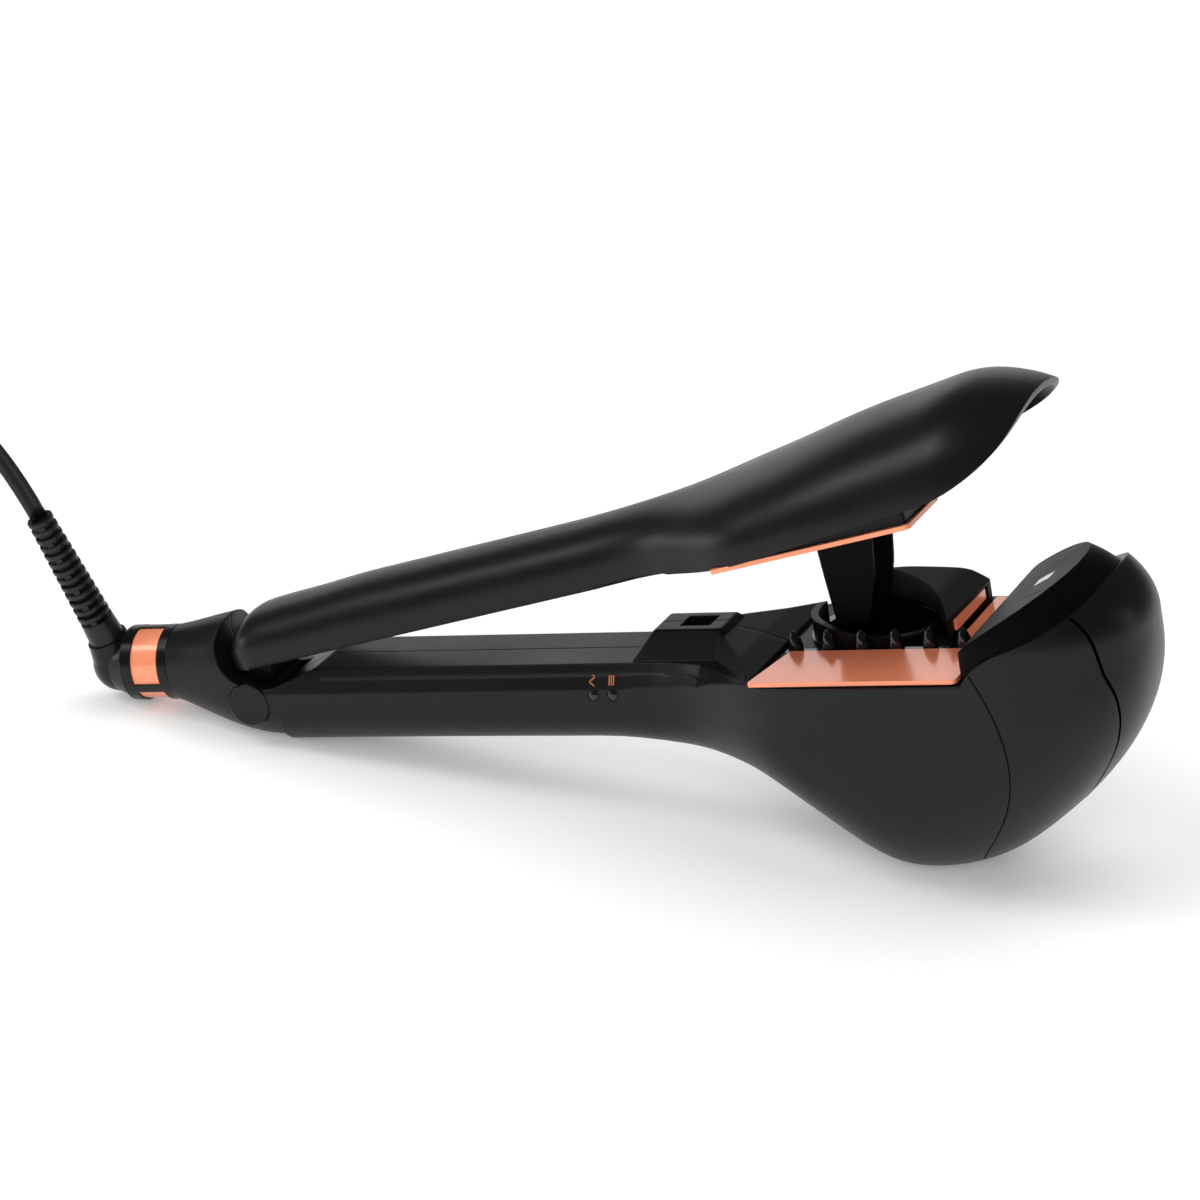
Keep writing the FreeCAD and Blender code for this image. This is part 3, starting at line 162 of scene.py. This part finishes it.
def sweep(name, line, profile, side_at):
    """A tube along a line; side_at(travelled, tangent) gives the direction of the profile's first axis."""
    bm = bmesh.new()
    rings = []
    travelled = 0.0
    for k, p in enumerate(line):
        before, after = line[max(k - 1, 0)], line[min(k + 1, len(line) - 1)]
        tangent = (after - before).normalized()
        if k:
            travelled += (p - line[k - 1]).length
        side = side_at(travelled, tangent)
        side = (side - tangent * side.dot(tangent)).normalized()
        up = tangent.cross(side)
        rings.append([bm.verts.new(p + side * a + up * b) for a, b in profile])
    n = len(profile)
    for r0, r1 in zip(rings, rings[1:]):
        for k in range(n):
            bm.faces.new((r0[k], r0[(k + 1) % n], r1[(k + 1) % n], r1[k]))
    bm.faces.new(rings[0][::-1])
    bm.faces.new(rings[-1])
    mesh = bpy.data.meshes.new(name)
    bm.normal_update()
    bmesh.ops.recalc_face_normals(bm, faces=bm.faces)
    bm.to_mesh(mesh)
    bm.free()
    for face in mesh.polygons:
        face.use_smooth = True
    return new_object(name, mesh)


def cord_side(travelled, tangent):
    """The flat faces the viewer where the cord leaves and lies down by the time it reaches the floor."""
    lying = Vector((0.0, 0.0, 1.0)).cross(tangent).normalized()
    fade = min(1.0, travelled / TWIST_LENGTH)
    fade = fade * fade * (3 - 2 * fade)
    return Matrix.Rotation(EXIT_LEAN * (1 - fade), 3, tangent) @ lying


def make_cord():
    line = nurbs_line("cord_line", cord_route())
    cord = sweep("twin_cord", line, twin_profile(), cord_side)
    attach(cord, "cord_swivel")
    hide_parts("power_cord", "cord_coil", "cord_tail")
    return cord


make_camera()
cord = make_cord()


# ---- the tool's own frame, in millimetres: X to the nose, Z up from the parting plane ----
PITCH = math.radians(11.4)
LIFT = Vector((-91.5614, 0.0, 20.704))
TOOL = Matrix.Translation(LIFT * MM) @ Matrix.Rotation(-PITCH, 4, "Y") @ Matrix.Scale(MM, 4)


def cast(node, start, end):
    """Where a line first meets a CAD piece, and the face's normal, in the tool's frame; None if it misses."""
    piece = frame["nodes"][node]
    to_piece = piece.matrix_world.inverted() @ TOOL
    origin = to_piece @ start
    hit, place, facing, face = piece.ray_cast(origin, (to_piece @ end - origin).normalized())
    if not hit:
        return None
    back = to_piece.inverted()
    return back @ place, (back.to_3x3() @ facing).normalized()


# ---- materials ----
EDGE_BREAK = 0.35         # radius that the light finds on a moulded edge
SLOW_SCALE = 0.035        # changes of sheen and shade, per millimetre
SHADE_DRIFT = 0.12        # how far the shade strays to either side
SHEEN_DRIFT = (-0.03, 0.04)
NOISE_RANGE = (0.3, 0.7)  # where nearly all of a noise lies


def new_material(name, colour, rough, metal=0.0, coat=0.0, specular=0.5):
    material = bpy.data.materials.new(name)
    material.use_nodes = True
    shader = material.node_tree.nodes["Principled BSDF"]
    shader.inputs["Base Color"].default_value = (*colour, 1.0)
    shader.inputs["Roughness"].default_value = rough
    shader.inputs["Metallic"].default_value = metal
    shader.inputs["Coat Weight"].default_value = coat
    shader.inputs["Specular IOR Level"].default_value = specular
    return material, material.node_tree, shader


def coordinates(tree, scale=(1.0, 1.0, 1.0)):
    """Object coordinates in millimetres, stretched by scale."""
    place = tree.nodes.new("ShaderNodeTexCoord")
    mapping = tree.nodes.new("ShaderNodeMapping")
    mapping.inputs["Scale"].default_value = tuple(s / MM for s in scale)
    tree.links.new(place.outputs["Object"], mapping.inputs["Vector"])
    return mapping.outputs["Vector"]


def noise(tree, vector, scale, detail=4.0):
    node = tree.nodes.new("ShaderNodeTexNoise")
    node.inputs["Scale"].default_value = scale
    node.inputs["Detail"].default_value = detail
    tree.links.new(vector, node.inputs["Vector"])
    return node.outputs["Fac"]


def spread(tree, value, low, high):
    """Maps a noise between low and high."""
    node = tree.nodes.new("ShaderNodeMapRange")
    node.inputs["From Min"].default_value, node.inputs["From Max"].default_value = NOISE_RANGE
    node.inputs["To Min"].default_value = low
    node.inputs["To Max"].default_value = high
    tree.links.new(value, node.inputs["Value"])
    return node.outputs["Result"]


def tint(tree, value, dark, light):
    node = tree.nodes.new("ShaderNodeMix")
    node.data_type = "RGBA"
    node.inputs["A"].default_value = (*dark, 1.0)
    node.inputs["B"].default_value = (*light, 1.0)
    tree.links.new(value, node.inputs["Factor"])
    return node.outputs["Result"]


def bump(tree, shader, height, strength, distance, round_edges=EDGE_BREAK):
    """Surface grain over edges that are broken by a small radius, in millimetres."""
    soft = tree.nodes.new("ShaderNodeBevel")
    soft.samples = 4
    soft.inputs["Radius"].default_value = round_edges * MM
    node = tree.nodes.new("ShaderNodeBump")
    tree.links.new(soft.outputs["Normal"], node.inputs["Normal"])
    node.inputs["Strength"].default_value = strength
    node.inputs["Distance"].default_value = distance * MM
    tree.links.new(height, node.inputs["Height"])
    tree.links.new(node.outputs["Normal"], shader.inputs["Normal"])


def moulded(name, colour, rough, grain, depth, coat=0.0, specular=0.5, edge=EDGE_BREAK):
    """Moulded plastic: fine grain in the surface, slow changes of sheen and shade."""
    material, tree, shader = new_material(name, colour, rough, coat=coat, specular=specular)
    vector = coordinates(tree)
    slow = noise(tree, vector, SLOW_SCALE, 3.0)
    fine = noise(tree, vector, grain, 2.0)
    smooth_at, rough_at = (rough + drift for drift in SHEEN_DRIFT)
    tree.links.new(spread(tree, slow, smooth_at, rough_at), shader.inputs["Roughness"])
    dark, light = (tuple(c * (1 + drift) for c in colour) for drift in (-SHADE_DRIFT, SHADE_DRIFT))
    tree.links.new(tint(tree, slow, dark, light), shader.inputs["Base Color"])
    bump(tree, shader, fine, 0.35, depth, edge)
    return material


def coated_copper(name):
    """Ceramic coated plate: warm copper with a faint sparkle, lapping marks and a clear glaze."""
    material, tree, shader = new_material(name, (0.88, 0.27, 0.13), 0.22, metal=0.15, coat=0.4)
    shader.inputs["Coat Roughness"].default_value = 0.12
    marks = noise(tree, coordinates(tree, (0.25, 6.0, 6.0)), 1.0, 3.0)
    sparkle = noise(tree, coordinates(tree), 9.0, 2.0)
    tree.links.new(spread(tree, marks, 0.19, 0.26), shader.inputs["Roughness"])
    shade = tint(tree, sparkle, (0.85, 0.27, 0.14), (0.89, 0.3, 0.16))
    tree.links.new(shade, shader.inputs["Base Color"])
    bump(tree, shader, marks, 0.1, 0.02, 0.2)
    return material


def printed_copper(name):
    """Copper ink with a slow change of shade."""
    material, tree, shader = new_material(name, (0.62, 0.24, 0.13), 0.4, metal=0.2)
    wear = noise(tree, coordinates(tree), 2.0, 2.0)
    shade = tint(tree, wear, (0.55, 0.2, 0.105), (0.66, 0.26, 0.14))
    tree.links.new(shade, shader.inputs["Base Color"])
    return material


def machined(name, colour, rough):
    """Metal with fine marks of the tool round it."""
    material, tree, shader = new_material(name, colour, rough, metal=1.0)
    marks = noise(tree, coordinates(tree, (1.0, 1.0, 12.0)), 1.5, 3.0)
    tree.links.new(spread(tree, marks, rough - 0.08, rough + 0.1), shader.inputs["Roughness"])
    bump(tree, shader, marks, 0.15, 0.02)
    return material


MATERIALS = {
    "soft_touch_black": moulded("soft_touch", (0.0045, 0.0045, 0.005), 0.36, 2.6, 0.02, specular=0.27,
                                edge=0.8),
    "satin_black": moulded("satin_moulding", (0.004, 0.004, 0.0044), 0.3, 2.0, 0.015, specular=0.27),
    "dark_plastic": moulded("dark_moulding", (0.003, 0.003, 0.0033), 0.36, 2.0, 0.02, specular=0.22),
    "gloss_black": moulded("gloss_moulding", (0.002, 0.002, 0.0022), 0.13, 1.0, 0.004, specular=0.6),
    "copper": coated_copper("copper_coating"),
    "steel": machined("machined_steel", (0.55, 0.55, 0.57), 0.3),
    "gear_plastic": moulded("acetal", (0.62, 0.6, 0.52), 0.4, 1.5, 0.01),
    "heater": machined("heater_foil", (0.6, 0.6, 0.58), 0.35),
    "board_green": moulded("circuit_board", (0.03, 0.16, 0.07), 0.4, 1.0, 0.02),
    "lens_white": moulded("milky_lens", (0.85, 0.85, 0.83), 0.25, 0.8, 0.003, coat=0.3),
    "lamp_dark": moulded("smoked_lens", (0.006, 0.0055, 0.0055), 0.12, 0.8, 0.003, coat=0.2),
    "cord_rubber": moulded("cord_jacket", (0.006, 0.006, 0.006), 0.36, 1.6, 0.02, specular=0.35),
    "tie_rubber": moulded("tie_strap", (0.012, 0.012, 0.012), 0.5, 1.6, 0.03, specular=0.35),
    "plug_plastic": moulded("plug_moulding", (0.008, 0.008, 0.008), 0.36, 1.8, 0.02, specular=0.35),
    "blade_brass": machined("plated_blade", (0.66, 0.6, 0.48), 0.25),
}


# The pieces inside the jaw have a duller face than the mouldings round them.
DULL = moulded("dull_moulding", (0.002, 0.002, 0.0022), 0.45, 2.0, 0.02, specular=0.08)
DULL_NODES = ("curl_post", "curl_guard", "nose_lip", "nose_cap")


def finish_nodes():
    slots = {s["node"]: s["material_slot"] for s in frame["record"]["subparts"]}
    for node, piece in frame["nodes"].items():
        piece.data.materials.clear()
        piece.data.materials.append(DULL if node in DULL_NODES else MATERIALS[slots[node]])
    cord.data.materials.append(MATERIALS["cord_rubber"])


finish_nodes()


# ---- printed marks over the two mode lights ----
MARK_AT = (101.8, 107.3)   # along the tool
MARK_Z = -3.9              # on the handle's long chamfer
CHAMFER_TOP_Y = -11.5
CHAMFER_SLOPE = Vector((0.0, -3.5, -6.0)).normalized()
MARK_LENGTH = 3.0
STROKE_LENGTH = 2.7
MARK_SWING = 0.62          # half the width of a mark
MARK_LINE = 0.42
MARK_PROUD = 0.1
MARK_THICK = 0.06
MARK_REACH = 4.0           # how far out the shell is looked for
WAVE_STEPS = 28
WAVE_TURNS = 1.25
STROKE_STEPS = 4


def ribbon(bm, points, width, normal):
    """A flat strip along points."""
    pairs = []
    for k, p in enumerate(points):
        along = (points[min(k + 1, len(points) - 1)] - points[max(k - 1, 0)]).normalized()
        side = along.cross(normal) * (width / 2)
        pairs.append((bm.verts.new(p - side), bm.verts.new(p + side)))
    for (a0, a1), (b0, b1) in zip(pairs, pairs[1:]):
        bm.faces.new((a0, a1, b1, b0))


def make_marks():
    """A wave for curling and three strokes for straightening, printed in copper."""
    along = Vector((1.0, 0.0, 0.0))
    normal = CHAMFER_SLOPE.cross(along)
    if normal.y > 0:
        normal = -normal

    def centre(x):
        fall = MARK_Z / CHAMFER_SLOPE.z
        return Vector((x, CHAMFER_TOP_Y, 0.0)) + CHAMFER_SLOPE * fall

    def printed(points):
        """The points dropped onto the near shell."""
        found = [cast("lower_shell_near", p + normal * MARK_REACH, p) for p in points]
        return [place + normal * MARK_PROUD for place, facing in found]

    bm = bmesh.new()
    middle = centre(MARK_AT[0])
    wave = [middle + CHAMFER_SLOPE * (MARK_LENGTH * (k / WAVE_STEPS - 0.5))
            + along * (MARK_SWING * math.sin(k / WAVE_STEPS * WAVE_TURNS * 2 * math.pi))
            for k in range(WAVE_STEPS + 1)]
    ribbon(bm, printed(wave), MARK_LINE, normal)
    middle = centre(MARK_AT[1])
    for shift in (-MARK_SWING, 0.0, MARK_SWING):
        stroke = [middle + along * shift
                  + CHAMFER_SLOPE * (STROKE_LENGTH * (k / STROKE_STEPS - 0.5))
                  for k in range(STROKE_STEPS + 1)]
        ribbon(bm, printed(stroke), MARK_LINE, normal)
    bmesh.ops.solidify(bm, geom=bm.faces[:], thickness=MARK_THICK)
    bmesh.ops.recalc_face_normals(bm, faces=bm.faces[:])
    bm.transform(TOOL)
    mesh = bpy.data.meshes.new("mode_marks")
    bm.to_mesh(mesh)
    bm.free()
    marks = new_object("mode_marks", mesh)
    mesh.materials.append(printed_copper("copper_ink"))
    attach(marks, "lower_arm")


make_marks()


# ---- the joint line round the front cover, drawn as a dark strip of painted shade ----
COVER_EDGE = [   # as (across, up) in the tool's frame
    (-24.5, 25.0), (-20.5, -2.0), (-15.5, -18.0), (-11.0, -32.0), (-6.0, -41.0),
    (6.0, -41.0), (11.0, -32.0), (15.5, -18.0), (20.5, -2.0), (24.5, 25.0),
]
COVER_BENDS = [0.0, 1.0, 1.0, 1.0, 3.0, 3.0, 1.0, 1.0, 1.0, 0.0]  # how far before a corner the line turns
JOINT_HALF = 0.26          # half the joint line's width
JOINT_PROUD = 0.03
JOINT_STEP = 1.0
AHEAD, BEHIND = 300.0, 150.0  # the nose is looked for between these places along the tool
BEND_STEPS = 4


def cover_line():
    """The cover's outline with its corners turned smoothly, as points a step apart."""
    corners = [Vector(p) for p in COVER_EDGE]
    line = [corners[0]]
    for k, reach in enumerate(COVER_BENDS[1:-1], start=1):
        into = (corners[k] - corners[k - 1]).normalized() * reach
        out = (corners[k + 1] - corners[k]).normalized() * reach
        start = corners[k] - into
        run = start - line[-1]
        steps = max(1, round(run.length / JOINT_STEP))
        line += [line[-1] + run * (i / steps) for i in range(1, steps + 1)]
        for i in range(1, BEND_STEPS + 1):
            t = i / BEND_STEPS
            line.append(start + into * (2 * t) + (out - into) * (t * t))
    run = corners[-1] - line[-1]
    steps = round(run.length / JOINT_STEP)
    return line + [line[-1] + run * (i / steps) for i in range(1, steps + 1)]


def nose_surface(across, up):
    """The foremost place on the nose shells or the cover, looked for from ahead."""
    ends = Vector((AHEAD, across, up)), Vector((BEHIND, across, up))
    found = [cast(node, *ends) for node in ("front_cover", "nose_shell_near", "nose_shell_far")]
    found = [pair for pair in found if pair]
    if not found:
        return None
    place, facing = max(found, key=lambda pair: pair[0].x)
    return place + facing * JOINT_PROUD


def make_joint_shade():
    """A dark strip of painted shade along the cover's joint line, for the groove's shade; it ends where the
    line leaves the nose.
    """
    line = cover_line()
    bm = bmesh.new()
    rows = []
    for k, p in enumerate(line):
        along = line[min(k + 1, len(line) - 1)] - line[max(k - 1, 0)]
        side = Vector((along.y, -along.x)).normalized() * JOINT_HALF
        sides = [nose_surface(*(p + side)), nose_surface(*(p - side))]
        rows.append([bm.verts.new(q) for q in sides] if all(sides) else None)
    for before, after in zip(rows, rows[1:]):
        if before and after:
            bm.faces.new((before[0], before[1], after[1], after[0]))
    bmesh.ops.solidify(bm, geom=bm.faces[:], thickness=JOINT_PROUD)
    bmesh.ops.recalc_face_normals(bm, faces=bm.faces[:])
    bm.transform(TOOL)
    mesh = bpy.data.meshes.new("cover_joint_shade")
    bm.to_mesh(mesh)
    bm.free()
    joint = new_object("cover_joint_shade", mesh)
    # near-black and matte: painted shade for the groove between the cover and the nose shells
    groove_shade = moulded("joint_shadow", (0.001, 0.001, 0.001), 0.7, 2.0, 0.01, specular=0.02)
    mesh.materials.append(groove_shade)
    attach(joint, "lower_arm")


make_joint_shade()


# ---- studio ----
FLOOR_REACH = 60.0
FLOOR_SHADES = (0.895, 0.905)
FLOOR_LIFT = 0.16         # brings the lit floor up to white where nothing shades it
WORLD = 0.08
LIT_PLACE = Vector((0.0, 0.0, 0.04))
# name, azimuth, elevation, spread in degrees, level
DOMES = [
    ("top", 160.0, 68.0, 60.0, 0.5),
    ("left", -50.0, 42.0, 40.0, 0.25),
    ("front", 15.0, 22.0, 40.0, 0.6),
]
# name, place, size, watts
BOXES = [
    ("wall", (-0.94, 1.71, 0.46), (1.5, 0.42), 2.4),
    ("left", (-2.0, -0.35, 0.3), (0.9, 0.5), 5.0),
    ("over", (-1.25, -0.5, 1.45), (0.8, 0.6), 9.0),
    ("right", (1.5, 0.6, 0.5), (0.2, 0.7), 1.0),
]


def seen_directly(tree):
    """1 for what is seen straight, mirrored or through glass; 0 for the light that falls on things."""
    path = tree.nodes.new("ShaderNodeLightPath")
    either = tree.nodes.new("ShaderNodeMath")
    either.operation = "MAXIMUM"
    tree.links.new(path.outputs["Is Camera Ray"], either.inputs[0])
    tree.links.new(path.outputs["Is Glossy Ray"], either.inputs[1])
    both = tree.nodes.new("ShaderNodeMath")
    both.operation = "MAXIMUM"
    tree.links.new(either.outputs["Value"], both.inputs[0])
    tree.links.new(path.outputs["Is Transmission Ray"], both.inputs[1])
    return both.outputs["Value"]


def floor():
    bm = bmesh.new()
    bmesh.ops.create_grid(bm, x_segments=1, y_segments=1, size=FLOOR_REACH)
    mesh = bpy.data.meshes.new("floor")
    bm.to_mesh(mesh)
    bm.free()
    plane = new_object("floor", mesh)
    low, high = FLOOR_SHADES
    material, tree, shader = new_material("paper", (high,) * 3, 0.9, specular=0.1)
    slow = noise(tree, coordinates(tree), 0.004, 2.0)
    tree.links.new(tint(tree, slow, (low,) * 3, (high,) * 3), shader.inputs["Base Color"])
    glow = tree.nodes.new("ShaderNodeMath")
    glow.operation = "MULTIPLY"
    glow.inputs[1].default_value = FLOOR_LIFT
    tree.links.new(seen_directly(tree), glow.inputs[0])
    shader.inputs["Emission Color"].default_value = (1.0, 1.0, 1.0, 1.0)
    tree.links.new(glow.outputs["Value"], shader.inputs["Emission Strength"])
    mesh.materials.append(material)


def aim(lamp, place):
    """Puts a lamp somewhere and turns it to the tool."""
    lamp.location = place
    lamp.rotation_euler = (LIT_PLACE - Vector(place)).to_track_quat("-Z", "Y").to_euler()


def softbox(name, place, size, power):
    data = bpy.data.lights.new(name, "AREA")
    data.shape = "RECTANGLE"
    data.size, data.size_y = size
    data.energy = power
    lamp = bpy.data.objects.new(name, data)
    scene.collection.objects.link(lamp)
    aim(lamp, place)


def dome(name, azimuth, elevation, spread_deg, level):
    """A far, wide lamp for the plain light: level is how bright it makes a white card that faces it."""
    data = bpy.data.lights.new(name, "SUN")
    data.angle = math.radians(spread_deg)
    data.energy = level * math.pi
    lamp = bpy.data.objects.new(name, data)
    scene.collection.objects.link(lamp)
    lamp.visible_glossy = False
    flat = math.cos(math.radians(elevation))
    away = Vector((flat * math.sin(math.radians(azimuth)), -flat * math.cos(math.radians(azimuth)),
                   math.sin(math.radians(elevation))))
    aim(lamp, LIT_PLACE + away)


def studio():
    world = bpy.data.worlds.new("studio")
    world.use_nodes = True
    sky = world.node_tree.nodes["Background"]
    sky.inputs["Color"].default_value = (1.0, 1.0, 1.0, 1.0)
    sky.inputs["Strength"].default_value = WORLD
    scene.world = world
    for lamp in DOMES:
        dome(*lamp)
    for lamp in BOXES:
        softbox(*lamp)


floor()
studio()
scene.view_settings.view_transform = "Standard"
